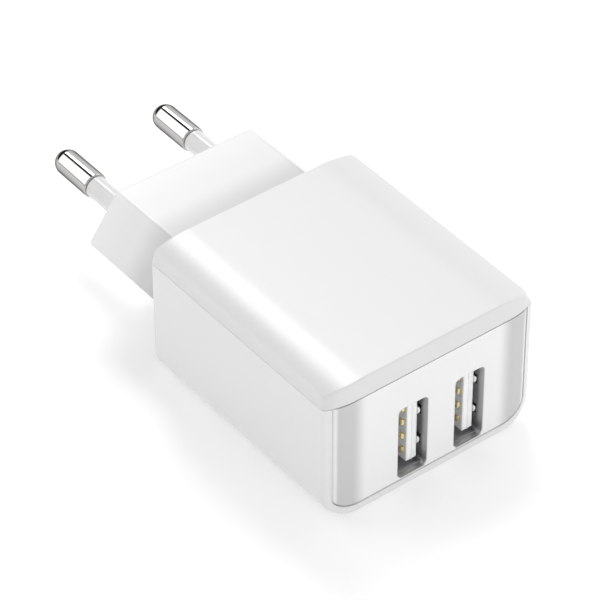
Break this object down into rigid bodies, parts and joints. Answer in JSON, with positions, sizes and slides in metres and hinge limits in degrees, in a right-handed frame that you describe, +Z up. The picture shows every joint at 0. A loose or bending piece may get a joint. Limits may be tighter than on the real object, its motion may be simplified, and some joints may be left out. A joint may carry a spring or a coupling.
{
  "type": "usb wall charger",
  "caption": "Compact white mains charger with upright USB-A sockets in its front panel and a fixed round-pin plug on a hexagonal nose.",
  "frame": {"origin": "middle of the whole length, pins included, on the flat underside", "axes": "+X across the port face, +Y from the ports towards the plug pins, +Z up"},
  "size_m": [0.037, 0.0768, 0.0234],
  "materials": {
    "shell_plastic": "satin white moulded plastic",
    "panel_plastic": "fine matte grain",
    "nickel": "bright nickel plate",
    "sleeve_plastic": "smooth white",
    "tinned_strip": "tinned strip",
    "port_steel": "nickel-plated steel",
    "insulator": "white moulding",
    "gold_plating": "gold plate",
    "circuit_board": "green solder mask",
    "black_plastic": "moulding compound",
    "ferrite": "dark ferrite",
    "winding_tape": "yellow polyester tape",
    "capacitor_sleeve": "shrink sleeve and aluminium top",
    "resistor_coat": "flameproof coat",
    "disc_coat": "dipped epoxy",
    "barrier_sheet": "insulating sheet"
  },
  "bodies": {
    "charger": {"top_cover": "shell_plastic", "bottom_housing": "shell_plastic", "front_panel": "panel_plastic", "plug_nose": "shell_plastic", "pin_left": "nickel", "pin_right": "nickel", "pin_sleeve_left": "sleeve_plastic", "pin_sleeve_right": "sleeve_plastic", "pin_lead_left": "tinned_strip", "pin_lead_right": "tinned_strip", "usb_shell_left": "port_steel", "usb_shell_right": "port_steel", "usb_tongue_left": "insulator", "usb_tongue_right": "insulator", "usb_tails_left": "gold_plating", "usb_tails_right": "gold_plating", "usb_board": "circuit_board", "main_board": "circuit_board", "header_block": "black_plastic", "header_pins": "gold_plating", "transformer_core": "ferrite", "transformer_bobbin": "black_plastic", "transformer_winding": "winding_tape", "transformer_pins": "tinned_strip", "input_capacitors": "capacitor_sleeve", "output_capacitors": "capacitor_sleeve", "fuse_resistor": "resistor_coat", "input_choke": "ferrite", "y_capacitor": "disc_coat", "bridge_rectifier": "black_plastic", "controller_ic": "black_plastic", "rectifier_diode": "black_plastic", "port_controllers": "black_plastic", "insulation_sheet": "barrier_sheet"},
    "contacts_left": {"usb_contacts_left": "gold_plating"},
    "shell_springs_left_a": {"shell_springs_left_a": "port_steel"},
    "shell_springs_left_b": {"shell_springs_left_b": "port_steel"},
    "contacts_right": {"usb_contacts_right": "gold_plating"},
    "shell_springs_right_a": {"shell_springs_right_a": "port_steel"},
    "shell_springs_right_b": {"shell_springs_right_b": "port_steel"}
  },
  "joints": [
    {"name": "contacts_left_flex", "type": "hinge", "parent": "charger", "child": "contacts_left", "pos_m": [-0.00275, -0.02985, 0.00824], "axis": [0, 0, 1], "range_deg": [0, 4], "stiffness_Nm_per_rad": 0.03},
    {"name": "shell_springs_left_a_flex", "type": "hinge", "parent": "charger", "child": "shell_springs_left_a", "pos_m": [-0.00621, -0.0308, 0.00824], "axis": [0, 0, -1], "range_deg": [0, 3], "stiffness_Nm_per_rad": 0.03},
    {"name": "shell_springs_left_b_flex", "type": "hinge", "parent": "charger", "child": "shell_springs_left_b", "pos_m": [-0.00079, -0.0308, 0.00824], "axis": [0, 0, 1], "range_deg": [0, 3], "stiffness_Nm_per_rad": 0.03},
    {"name": "contacts_right_flex", "type": "hinge", "parent": "charger", "child": "contacts_right", "pos_m": [0.00735, -0.02985, 0.00824], "axis": [0, 0, 1], "range_deg": [0, 4], "stiffness_Nm_per_rad": 0.03},
    {"name": "shell_springs_right_a_flex", "type": "hinge", "parent": "charger", "child": "shell_springs_right_a", "pos_m": [0.00389, -0.0308, 0.00824], "axis": [0, 0, -1], "range_deg": [0, 3], "stiffness_Nm_per_rad": 0.03},
    {"name": "shell_springs_right_b_flex", "type": "hinge", "parent": "charger", "child": "shell_springs_right_b", "pos_m": [0.00931, -0.0308, 0.00824], "axis": [0, 0, 1], "range_deg": [0, 3], "stiffness_Nm_per_rad": 0.03}
  ]
}
